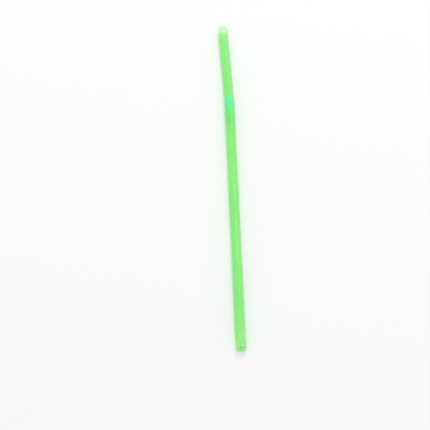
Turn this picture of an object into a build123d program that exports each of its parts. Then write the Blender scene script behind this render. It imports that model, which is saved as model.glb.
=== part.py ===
from build123d import *
import os
from math import asin, atan2, cos, degrees, hypot, pi, radians, sin

os.makedirs("parts", exist_ok=True)

# A flexible drinking straw in millimetres. It lies on its side along Y, with its mouth
# end towards +Y, and rests on Z = 0 under the middle of its box.

# The tube
straw_length = 210.0  # foot end to mouth end along the tube, with the concertina pushed shut
mouth_leg = 51.1  # plain tube above the concertina
mouth_lean = 2.0  # degrees to -X, the little that is left of its last bend
outer_diameter = 5.0
wall = 0.15

# The concertina. A pleat has a long wall that widens towards the mouth, and a short wall
# that is folded back under it. Sizes are from crease to crease, inside the folds.
pleat_count = 10
pleat_rise = 1.0  # along the axis, over a long wall
pleat_depth = 0.45  # across the axis
pleat_gap = 0.15  # air between one fold and the next long wall when it is shut
first_gap = 0.02  # along the axis, from the end of the long leg to the first root's fold
fold_flats = 3  # a fold is rounded with this many flats

outer_radius = outer_diameter / 2
crest_radius = outer_radius - wall  # the creases of the crests, level with the tube's inside
root_radius = crest_radius - pleat_depth

# A wall runs from the crease of one fold to the round back of the next, so it leans a
# little off the line between the two creases. Angles are from the straw's axis.
long_angle = atan2(pleat_depth, pleat_rise) + asin(wall / hypot(pleat_rise, pleat_depth))
pleat_pitch = (2 * wall + pleat_gap) / sin(long_angle)
fold_back = pleat_rise - pleat_pitch
short_angle = atan2(pleat_depth, fold_back) - asin(wall / hypot(fold_back, pleat_depth))

# The first short wall isn't folded back, so that the long leg is clear to its end.
first_lead = wall + first_gap
first_angle = atan2(pleat_depth, -first_lead) - asin(wall / hypot(first_lead, pleat_depth))

concertina_length = first_lead + fold_back + pleat_count * pleat_pitch
long_leg = straw_length - mouth_leg - concertina_length

# The mouth leg leans level with the floor, which also keeps the straw from rolling. The
# legs meet on a mitre in the plain tube just above the concertina.
lean = radians(mouth_lean)
mitre_above = wall  # from the last crest to the mitre
mouth_tube_length = mouth_leg - mitre_above
mouth_reach = mouth_tube_length * cos(lean) + outer_radius * sin(lean)  # along Y
foot_end = -(long_leg + concertina_length + mitre_above + mouth_reach) / 2
mitre_y = foot_end + long_leg + concertina_length + mitre_above
long_leg_x = (mouth_tube_length * sin(lean) - outer_radius * (1 - cos(lean))) / 2


def crest(pleat):
    """The crease where a pleat's long wall ends."""
    past_leg = first_lead + fold_back + pleat * pleat_pitch
    return (foot_end + long_leg + past_leg, crest_radius)


def root(pleat):
    """The crease that a pleat's long wall starts from."""
    return (crest(pleat)[0] - pleat_rise, root_radius)


def round_back(crease, start_angle, end_angle):
    """The outside of a fold, one wall thickness from its crease."""
    step = (end_angle - start_angle) / fold_flats
    angles = [start_angle + flat * step for flat in range(fold_flats + 1)]
    return [(crease[0] + wall * cos(angle), crease[1] + wall * sin(angle)) for angle in angles]


# The outside of the wall turns round the crests and meets in a crease at the roots, and
# the inside does the opposite. Both run on past the mitre, where they are cut.
leg_crease = (foot_end + long_leg, crest_radius)
outside = [(foot_end, outer_radius), *round_back(leg_crease, pi / 2, first_angle - pi / 2)]
inside = [(foot_end, crest_radius), leg_crease]
for pleat in range(1, pleat_count + 1):
    angle_before = first_angle if pleat == 1 else short_angle
    last_angle = pi / 2 if pleat == pleat_count else short_angle - pi / 2
    outside += [root(pleat), *round_back(crest(pleat), long_angle + pi / 2, last_angle)]
    inside += [*round_back(root(pleat), angle_before + pi / 2, long_angle + 3 * pi / 2), crest(pleat)]
outside.append((mitre_y + outer_radius, outer_radius))
inside.append((mitre_y + outer_radius, crest_radius))

# The mitre halves the lean, so the cut ends of the two legs are the same.
mitre_point = (long_leg_x, mitre_y, outer_radius)
mitre = Plane(origin=mitre_point, x_dir=(0, 0, 1), z_dir=(-sin(lean / 2), cos(lean / 2), 0))
mouth_plane = Plane(origin=mitre_point, x_dir=(0, 0, 1), z_dir=(-sin(lean), cos(lean), 0))

with BuildPart() as mouth_tube:
    with BuildSketch(mouth_plane.offset(mouth_tube_length)):
        Circle(outer_radius)
        Circle(crest_radius, mode=Mode.SUBTRACT)
    extrude(amount=-mouth_tube_length - outer_radius)
    split(bisect_by=mitre, keep=Keep.TOP)

# The long leg and the concertina are one wall turned about the long leg's axis. The
# profile's X runs along the straw.
long_leg_axis = Axis((long_leg_x, 0, outer_radius), (0, 1, 0))
profile_plane = Plane(origin=(long_leg_x, 0, outer_radius), x_dir=(0, 1, 0), z_dir=(1, 0, 0))

with BuildPart() as straw:
    with BuildSketch(profile_plane):
        with BuildLine():
            outside_line = Polyline(outside)
            inside_line = Polyline(inside)
            Line(outside_line @ 0, inside_line @ 0)
            Line(outside_line @ 1, inside_line @ 1)
        make_face()
    revolve(axis=long_leg_axis)
    split(bisect_by=mitre, keep=Keep.BOTTOM)
    add(mouth_tube.part)

straw.part.label = "straw"
export_step(straw.part, "parts/straw.step")

print(f"Pleat pitch {pleat_pitch:.3f}, concertina {concertina_length:.2f}, long leg {long_leg:.2f}")
print(f"Wall angles {degrees(long_angle):.1f} and {degrees(short_angle):.1f} degrees")
print(f"Long leg at X {long_leg_x:.4f}, foot end at Y {foot_end:.4f}, mitre at Y {mitre_y:.4f}")
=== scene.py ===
import bmesh
import bpy
from math import asin, atan2, cos, hypot, pi, radians, sin, tan
from mathutils import Matrix, Vector


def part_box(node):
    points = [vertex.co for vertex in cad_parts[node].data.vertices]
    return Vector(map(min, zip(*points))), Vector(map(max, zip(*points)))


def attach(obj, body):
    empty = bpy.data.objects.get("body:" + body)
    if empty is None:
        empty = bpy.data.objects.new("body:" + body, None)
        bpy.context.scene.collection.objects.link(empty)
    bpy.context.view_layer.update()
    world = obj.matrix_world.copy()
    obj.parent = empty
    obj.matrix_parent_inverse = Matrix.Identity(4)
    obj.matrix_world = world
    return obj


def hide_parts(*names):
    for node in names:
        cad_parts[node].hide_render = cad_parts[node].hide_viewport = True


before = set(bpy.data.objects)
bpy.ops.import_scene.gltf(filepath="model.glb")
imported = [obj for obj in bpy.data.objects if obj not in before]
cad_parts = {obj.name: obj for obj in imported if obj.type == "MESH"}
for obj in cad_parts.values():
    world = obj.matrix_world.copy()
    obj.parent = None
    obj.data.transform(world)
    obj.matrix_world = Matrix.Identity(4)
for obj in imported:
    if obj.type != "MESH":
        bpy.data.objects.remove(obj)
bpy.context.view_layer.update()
millimetre = 0.001

# A long lens looks down on the straw from beyond its foot end.
camera = {
    "place": (-0.02752, -0.60412, 0.75331),
    "lookDown": 52.274,  # degrees below level
    "lookRight": 1.796,  # degrees from +Y towards +X
    "lens": 156.65,
    "sensorWidth": 36,
    "clipStart": 0.01,
}

cameraData = bpy.data.cameras.new("camera")
cameraData.lens = camera["lens"]
cameraData.sensor_width = camera["sensorWidth"]
cameraData.clip_start = camera["clipStart"]
cameraObject = bpy.data.objects.new("camera", cameraData)
cameraObject.location = camera["place"]
cameraObject.rotation_euler = (radians(90 - camera["lookDown"]), 0, radians(-camera["lookRight"]))
bpy.context.collection.objects.link(cameraObject)
bpy.context.scene.camera = cameraObject
print("camera placed")

# The straw is one thin wall, with a closed concertina between a long leg and a mouth leg.
# Millimetres, and a radius is to the middle of the wall.
straw = {
    "length": 210.0,
    "longLeg": 150.11,
    "mouthLeg": 51.1,
    "leanDegrees": 2.0,  # of the mouth leg, to the left
    "leanFrom": 0.15,  # above the concertina
    "radius": 2.425,
    "wall": 0.15,
    "facesAround": 96,
    "rimRounding": 0.03,
    "rimSegments": 2,
    "rimDegrees": 60,  # an edge sharper than this is rounded
    "closeBy": 0.001,  # points nearer than this are the same
}
pleats = {
    "count": 10,
    "pitch": 0.847,
    "rise": 1.0,  # along the straw, from the middle of a root fold to that of the next crest fold
    "innerRadius": 1.825,
    "foldRadius": 0.08,
    "afterLongLeg": 0.17,  # to the first root fold's middle
    "facesPerFold": 8,
}


def wallAngle(along, across, turnedOver):
    # the angle of a wall that passes over one fold and under the next
    twist = asin(2 * pleats["foldRadius"] / hypot(along, across))
    return atan2(across, along) + (twist if turnedOver else -twist)


def addFold(mesh, lastVert, along, radius, startAngle, endAngle):
    # a fold is turned about its middle, and joined to the wall before it
    middle = Vector((0, along, radius))
    reach = Vector((0, cos(startAngle), sin(startAngle))) * pleats["foldRadius"]
    firstVert = mesh.verts.new(middle + reach)
    mesh.edges.new((lastVert, firstVert))
    turned = bmesh.ops.spin(
        mesh, geom=[firstVert], cent=middle, axis=(1, 0, 0), angle=endAngle - startAngle,
        steps=pleats["facesPerFold"],
    )
    return [part for part in turned["geom_last"] if isinstance(part, bmesh.types.BMVert)][0]


def addSection(mesh, bendAlong):
    # half the straw's lengthwise section, from its foot to its mouth
    crestMiddle = straw["radius"] - pleats["foldRadius"]
    rootMiddle = pleats["innerRadius"] + pleats["foldRadius"]
    depth = crestMiddle - rootMiddle
    longAngle = wallAngle(pleats["rise"], depth, True)
    shortAngle = wallAngle(pleats["rise"] - pleats["pitch"], depth, False)
    firstAngle = wallAngle(-pleats["afterLongLeg"], depth, False)

    vert = mesh.verts.new((0, 0, straw["radius"]))
    vert = addFold(mesh, vert, straw["longLeg"], crestMiddle, pi / 2, firstAngle - pi / 2)
    angleBefore = firstAngle
    for number in range(pleats["count"]):
        rootAlong = straw["longLeg"] + pleats["afterLongLeg"] + number * pleats["pitch"]
        vert = addFold(mesh, vert, rootAlong, rootMiddle, angleBefore + pi / 2, longAngle + 3 * pi / 2)
        lastOne = number == pleats["count"] - 1
        endAngle = pi / 2 if lastOne else shortAngle - pi / 2
        crestAlong = rootAlong + pleats["rise"]
        vert = addFold(mesh, vert, crestAlong, crestMiddle, longAngle + pi / 2, endAngle)
        angleBefore = shortAngle
    for along in (bendAlong, straw["length"]):
        nextVert = mesh.verts.new((0, along, straw["radius"]))
        mesh.edges.new((vert, nextVert))
        vert = nextVert


def makeStraw():
    mesh = bmesh.new()
    bendAlong = straw["length"] - straw["mouthLeg"] + straw["leanFrom"]
    addSection(mesh, bendAlong)
    bmesh.ops.spin(
        mesh, geom=mesh.verts[:] + mesh.edges[:], cent=(0, 0, 0), axis=(0, 1, 0), angle=2 * pi,
        steps=straw["facesAround"], use_merge=True,
    )
    bmesh.ops.remove_doubles(mesh, verts=mesh.verts, dist=straw["closeBy"])
    bmesh.ops.recalc_face_normals(mesh, faces=mesh.faces)

    # the material's patterns follow the straw as it is before it leans
    place = mesh.verts.layers.float_vector.new("alongStraw")
    for vert in mesh.verts:
        vert[place] = vert.co

    # the two legs meet on a mitre
    lean = radians(straw["leanDegrees"])
    atBend = [vert for vert in mesh.verts if abs(vert.co.y - bendAlong) < straw["closeBy"]]
    atMouth = [vert for vert in mesh.verts if vert.co.y > bendAlong + straw["closeBy"]]
    for vert in atBend:
        vert.co.y += vert.co.x * tan(lean / 2)
    bmesh.ops.rotate(mesh, verts=atMouth, cent=(0, bendAlong, 0), matrix=Matrix.Rotation(lean, 3, "Z"))

    # onto the long leg's place in the frame
    low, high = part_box("straw")
    outerRadius = (straw["radius"] + straw["wall"] / 2) * millimetre
    bmesh.ops.scale(mesh, verts=mesh.verts, vec=(millimetre, millimetre, millimetre))
    bmesh.ops.translate(mesh, verts=mesh.verts, vec=(high.x - outerRadius, low.y, outerRadius))
    for face in mesh.faces:
        face.smooth = True

    piece = bpy.data.objects.new("strawWall", bpy.data.meshes.new("strawWall"))
    mesh.to_mesh(piece.data)
    mesh.free()
    bpy.context.collection.objects.link(piece)

    thickness = piece.modifiers.new("thickness", "SOLIDIFY")
    thickness.thickness = straw["wall"] * millimetre
    thickness.offset = 0
    thickness.use_even_offset = True
    rims = piece.modifiers.new("rims", "BEVEL")
    rims.width = straw["rimRounding"] * millimetre
    rims.segments = straw["rimSegments"]
    rims.limit_method = "ANGLE"
    rims.angle_limit = radians(straw["rimDegrees"])
    rims.harden_normals = True
    return piece


# Translucent mint plastic. An opacity is how much a face covers of what is behind it, and a
# share is how much of a colour is mixed in.
plastic = {
    "body": (0.24, 0.97, 0.26, 1),
    "band": (0.25, 0.99, 0.43, 1),
    "mouthLeg": (0.26, 0.97, 0.29, 1),
    # painted glow: the wall near a cut end and the cut rims get paler colours, standing in for light let
    # in at the cut
    "endGlow": (0.365, 0.98, 0.39, 1),
    "rims": (0.47, 1.00, 0.33, 1),
    # painted light: the inner face is painted paler and yellower than the outer, to lighten the shade
    # inside the tube
    "inner": (0.54, 1.00, 0.13, 1),
    "paintedInnerLightShare": 0.6,
    "lowerPleats": (0.19, 1.00, 0.28, 1),
    "upperPleats": (0.19, 1.00, 0.40, 1),
    # painted light: a glow of the pleats' colours on the tube beside the concertina, and the lower pleats'
    # colour on the long leg below it, over the shadow that the concertina casts inside the tube
    "paintedGlowShare": 0.5,  # of the pleats' colours, on the tube beside them
    "paintedShadowFillShare": 0.85,  # of the lower pleats' colour, on the long leg
    # painted highlight: the crest folds of the concertina are painted paler
    "fold": (0.32, 1.00, 0.50, 1),
    "crestHighlightShare": 0.7,
    "opacity": 0.56,  # of the wall's outer face
    "innerOpacity": 0.22,  # of its inner face
    "footOpacity": 0.76,  # the share of either that is left at the foot end
    "mouthOpacity": 0.97,  # and at the mouth end
    "rimOpacity": 0.7,
    "pleatOpacity": 0.9,
    # the long leg is made more opaque towards the pleats, which hides the shade that the concertina casts
    # inside the tube
    "shadeHidingOpacity": 0.28,  # what the long leg gains towards the pleats
    "streakOpacity": 0.06,  # what the streaks add
    "roughness": 0.34,
    "cloudRoughness": 0.14,  # what the clouds add
    "refraction": 1.49,
    "bumpStrength": 0.12,
    "bumpDepth": 0.05,  # millimetres
}

# The die leaves lines, bands and clouds along the tube. A stretch is in patterns per millimetre.
dieMarks = {
    "lines": {
        "stretch": (2.6, 0.005, 2.6), "detail": 2, "grain": 0.55, "edges": (0.38, 0.66), "share": 0.35,
    },
    "bands": {
        "stretch": (0.7, 0.004, 0.7), "detail": 1, "grain": 0.5, "edges": (0.42, 0.58), "share": 0.65,
    },
    "clouds": {
        "stretch": (0.2, 0.04, 0.2), "detail": 2, "grain": 0.5, "edges": (0.35, 0.68), "share": 1,
    },
}

# Where one look gives way to the next, in millimetres.
zones = {
    # from the concertina's middle, both ways
    "pleats": (4.3, 4.7),
    "besidePleats": (4.3, 8),
    # from there towards the mouth
    "belowPleats": (-14, -4.3),
    "upThePleats": (-3.6, -0.6),
    # from the mouth leg's lower end
    "mouthLeg": (0, 2.5),
    # from a cut end, outwards
    "endGlow": (-16, 0),
    "clearEnds": (-7, -1),
    "rims": (-0.8, -0.1),
    # from the middle of the wall, outwards
    "wall": (-0.03, 0.03),
    "crests": (-0.045, 0.075),
}

mixInputs = (6, 7)  # a Mix node's two colours
mixOutput = 2  # and the colour that it gives


def addNode(tree, kind, label, **values):
    node = tree.nodes.new(kind)
    node.label = label
    for name, value in values.items():
        setattr(node, name, value)
    return node


def calculate(tree, operation, label, first, second=None):
    node = addNode(tree, "ShaderNodeMath", label, operation=operation)
    for socket, value in zip(node.inputs, (first, second)):
        if isinstance(value, (int, float)):
            socket.default_value = value
        elif value is not None:
            tree.links.new(value, socket)
    return node.outputs["Value"]


def distanceFrom(tree, label, value, start):
    return calculate(tree, "ABSOLUTE", label, calculate(tree, "SUBTRACT", "from " + label, value, start))


def spread(tree, label, value, edges, results, start=0):
    # a soft step from one result to the other, between two edges counted from the start
    node = addNode(tree, "ShaderNodeMapRange", label, interpolation_type="SMOOTHSTEP")
    tree.links.new(value, node.inputs["Value"])
    node.inputs["From Min"].default_value = start + edges[0]
    node.inputs["From Max"].default_value = start + edges[1]
    node.inputs["To Min"].default_value = results[0]
    node.inputs["To Max"].default_value = results[1]
    return node.outputs["Result"]


def mixColour(tree, label, share, first, second):
    node = addNode(tree, "ShaderNodeMix", label, data_type="RGBA")
    tree.links.new(share, node.inputs["Factor"])
    for number, value in zip(mixInputs, (first, second)):
        if isinstance(value, tuple):
            node.inputs[number].default_value = value
        else:
            tree.links.new(value, node.inputs[number])
    return node.outputs[mixOutput]


def addMarks(tree, place, name):
    marks = dieMarks[name]
    mapping = addNode(tree, "ShaderNodeMapping", name + " stretch")
    mapping.inputs["Scale"].default_value = marks["stretch"]
    tree.links.new(place, mapping.inputs["Vector"])
    noise = addNode(tree, "ShaderNodeTexNoise", name)
    tree.links.new(mapping.outputs["Vector"], noise.inputs["Vector"])
    noise.inputs["Scale"].default_value = 1
    noise.inputs["Detail"].default_value = marks["detail"]
    noise.inputs["Roughness"].default_value = marks["grain"]
    return spread(tree, name + " share", noise.outputs["Fac"], marks["edges"], (0, marks["share"]))


def findPlace(tree):
    # millimetres: along the straw from its foot, and out from its middle line
    attribute = addNode(tree, "ShaderNodeAttribute", "along the straw", attribute_name="alongStraw")
    place = attribute.outputs["Vector"]
    directions = addNode(tree, "ShaderNodeSeparateXYZ", "directions")
    tree.links.new(place, directions.inputs["Vector"])
    across, along, up = directions.outputs
    acrossSquared = calculate(tree, "MULTIPLY", "across squared", across, across)
    upSquared = calculate(tree, "MULTIPLY", "up squared", up, up)
    radius = calculate(tree, "SQRT", "radius", calculate(tree, "ADD", "sum", acrossSquared, upSquared))
    return place, along, radius


def findZones(tree, along, radius):
    halfLength = straw["length"] / 2
    mouthLegEnd = straw["length"] - straw["mouthLeg"]
    pleatMiddle = mouthLegEnd - pleats["pitch"] * pleats["count"] / 2
    fromPleats = distanceFrom(tree, "pleats", along, pleatMiddle)
    fromCentre = distanceFrom(tree, "centre", along, halfLength)

    found = {}
    found["pleats"] = spread(tree, "in pleats", fromPleats, zones["pleats"], (1, 0))
    # painted light beside and below the concertina, over the shadow that it casts inside the tube
    paintedGlowShares = (plastic["paintedGlowShare"], 0)
    found["beside"] = spread(tree, "beside pleats", fromPleats, zones["besidePleats"], paintedGlowShares)
    paintedShadowFillShares = (0, plastic["paintedShadowFillShare"])
    upToPleats = spread(tree, "up to pleats", along, zones["belowPleats"], paintedShadowFillShares, pleatMiddle)
    notAbove = calculate(tree, "LESS_THAN", "not above", along, pleatMiddle)
    found["below"] = calculate(tree, "MULTIPLY", "below pleats", upToPleats, notAbove)
    found["upper"] = spread(tree, "up the pleats", along, zones["upThePleats"], (0, 1), pleatMiddle)
    found["mouthLeg"] = spread(tree, "in mouth leg", along, zones["mouthLeg"], (0, 1), mouthLegEnd)
    # painted highlight on the crest folds, the outermost part of the pleats
    crestHighlightShares = (0, plastic["crestHighlightShare"])
    farOut = spread(tree, "far out", radius, zones["crests"], crestHighlightShares, straw["radius"])
    found["crests"] = calculate(tree, "MULTIPLY", "crest folds", farOut, found["pleats"])
    # where the painted glow lies, near the cut ends and at the rims
    found["ends"] = spread(tree, "near ends", fromCentre, zones["endGlow"], (0, 1), halfLength)
    found["rims"] = spread(tree, "at rims", fromCentre, zones["rims"], (0, 1), halfLength)
    # painted light on the inner face, over the shade inside the tube
    paintedInnerLightShares = (plastic["paintedInnerLightShare"], 0)
    found["inside"] = spread(tree, "inside", radius, zones["wall"], paintedInnerLightShares, straw["radius"])
    return found


def mixPlasticColour(tree, found, streaks):
    colour = mixColour(tree, "body or mouth leg", found["mouthLeg"], plastic["body"], plastic["mouthLeg"])
    colour = mixColour(tree, "streaked", streaks, colour, plastic["band"])
    # painted glow: the wall is painted paler towards a cut end, as light let in at the cut would make it,
    # and palest at the cut itself
    colour = mixColour(tree, "ends", found["ends"], colour, plastic["endGlow"])
    # painted light: the inner face is paler, to lighten the shade inside the tube
    colour = mixColour(tree, "inner face", found["inside"], colour, plastic["inner"])
    colour = mixColour(tree, "rims", found["rims"], colour, plastic["rims"])
    # the folded wall is denser in colour. Beside it the tube is painted with the pleats' colours as a
    # glow, and below it the long leg with the lower pleats' colour: painted light over the shadow that the
    # concertina casts inside the tube
    lower, upper = plastic["lowerPleats"], plastic["upperPleats"]
    pleatColour = mixColour(tree, "lower or upper pleats", found["upper"], lower, upper)
    colour = mixColour(tree, "beside the pleats", found["beside"], colour, pleatColour)
    colour = mixColour(tree, "below the pleats", found["below"], colour, lower)
    colour = mixColour(tree, "pleats", found["pleats"], colour, pleatColour)
    # painted highlight on the crest folds
    return mixColour(tree, "folds", found["crests"], colour, plastic["fold"])


def mixOpacity(tree, found, streaks, along, radius):
    faces = (plastic["innerOpacity"], plastic["opacity"])
    opacity = spread(tree, "inner or outer", radius, zones["wall"], faces, straw["radius"])
    streakOpacity = calculate(tree, "MULTIPLY", "streak opacity", streaks, plastic["streakOpacity"])
    opacity = calculate(tree, "ADD", "streaked opacity", opacity, streakOpacity)
    fromFoot = calculate(tree, "MULTIPLY", "from foot", along, -1)
    atFoot = spread(tree, "at foot", fromFoot, zones["clearEnds"], (1, plastic["footOpacity"]))
    mouthShares = (1, plastic["mouthOpacity"])
    atMouth = spread(tree, "at mouth", along, zones["clearEnds"], mouthShares, straw["length"])
    opacity = calculate(tree, "MULTIPLY", "clearer at foot", opacity, atFoot)
    opacity = calculate(tree, "MULTIPLY", "clearer at mouth", opacity, atMouth)
    # more opaque below the pleats, to hide the concertina's shade inside the tube
    shadeHidingOpacity = calculate(tree, "MULTIPLY", "below opacity", found["below"], plastic["shadeHidingOpacity"])
    opacity = calculate(tree, "ADD", "denser below", opacity, shadeHidingOpacity)
    pleatOpacity = calculate(tree, "MULTIPLY", "pleat opacity", found["pleats"], plastic["pleatOpacity"])
    opacity = calculate(tree, "MAXIMUM", "or pleats", opacity, pleatOpacity)
    rimOpacity = calculate(tree, "MULTIPLY", "rim opacity", found["rims"], plastic["rimOpacity"])
    return calculate(tree, "MAXIMUM", "or rims", opacity, rimOpacity)


def makePlastic():
    material = bpy.data.materials.new("mintPlastic")
    material.use_nodes = True
    tree = material.node_tree
    shader = tree.nodes["Principled BSDF"]
    shader.inputs["IOR"].default_value = plastic["refraction"]

    place, along, radius = findPlace(tree)
    lines = addMarks(tree, place, "lines")
    bands = addMarks(tree, place, "bands")
    clouds = addMarks(tree, place, "clouds")
    streaks = calculate(tree, "ADD", "streaks", lines, bands)
    found = findZones(tree, along, radius)
    tree.links.new(mixPlasticColour(tree, found, streaks), shader.inputs["Base Color"])
    tree.links.new(mixOpacity(tree, found, streaks, along, radius), shader.inputs["Alpha"])

    cloudRoughness = calculate(tree, "MULTIPLY", "cloud roughness", clouds, plastic["cloudRoughness"])
    roughness = calculate(tree, "ADD", "roughness", plastic["roughness"], cloudRoughness)
    tree.links.new(roughness, shader.inputs["Roughness"])

    bump = addNode(tree, "ShaderNodeBump", "die marks")
    bump.inputs["Strength"].default_value = plastic["bumpStrength"]
    bump.inputs["Distance"].default_value = plastic["bumpDepth"] * millimetre
    tree.links.new(streaks, bump.inputs["Height"])
    tree.links.new(bump.outputs["Normal"], shader.inputs["Normal"])
    return material


strawPiece = makeStraw()
strawPiece.data.materials.append(makePlastic())
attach(strawPiece, "root")
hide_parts("straw")
print("straw made")

# A pale floor, a white surround and one soft lamp beyond the mouth end.
studio = {
    "floor": (0.92, 0.92, 0.92, 1),
    "floorReach": 3,
    "floorRoughness": 0.9,
    "world": (1, 1, 1, 1),
    "worldStrength": 0.8,
    "keyPower": 15.0,
    "keySize": 0.7,
    "keyPlace": (0.36, 1.24, 1.7),
}


def makeFloor():
    mesh = bmesh.new()
    bmesh.ops.create_grid(mesh, x_segments=1, y_segments=1, size=studio["floorReach"])
    floor = bpy.data.objects.new("floor", bpy.data.meshes.new("floor"))
    mesh.to_mesh(floor.data)
    mesh.free()
    bpy.context.collection.objects.link(floor)
    material = bpy.data.materials.new("paleFloor")
    material.use_nodes = True
    shader = material.node_tree.nodes["Principled BSDF"]
    shader.inputs["Base Color"].default_value = studio["floor"]
    shader.inputs["Roughness"].default_value = studio["floorRoughness"]
    shader.inputs["Specular IOR Level"].default_value = 0
    floor.data.materials.append(material)
    return floor


def lightStudio():
    # what is seen or mirrored is plain white, and what lights the straw is a little less
    world = bpy.data.worlds.new("studio")
    world.use_nodes = True
    tree = world.node_tree
    background = tree.nodes["Background"]
    background.inputs["Color"].default_value = studio["world"]
    path = addNode(tree, "ShaderNodeLightPath", "rays")
    seen = calculate(tree, "MAXIMUM", "seen", path.outputs["Is Camera Ray"], path.outputs["Is Glossy Ray"])
    seen = calculate(tree, "MAXIMUM", "seen or through", seen, path.outputs["Is Transmission Ray"])
    strength = spread(tree, "strength", seen, (0, 1), (studio["worldStrength"], 1))
    tree.links.new(strength, background.inputs["Strength"])
    bpy.context.scene.world = world

    lampData = bpy.data.lights.new("key", "AREA")
    lampData.energy = studio["keyPower"]
    lampData.size = studio["keySize"]
    lamp = bpy.data.objects.new("key", lampData)
    lamp.location = studio["keyPlace"]
    lamp.rotation_euler = (-Vector(studio["keyPlace"])).to_track_quat("-Z", "Y").to_euler()
    bpy.context.collection.objects.link(lamp)


makeFloor()
lightStudio()
bpy.context.scene.view_settings.view_transform = "Standard"
print("floor and light made")
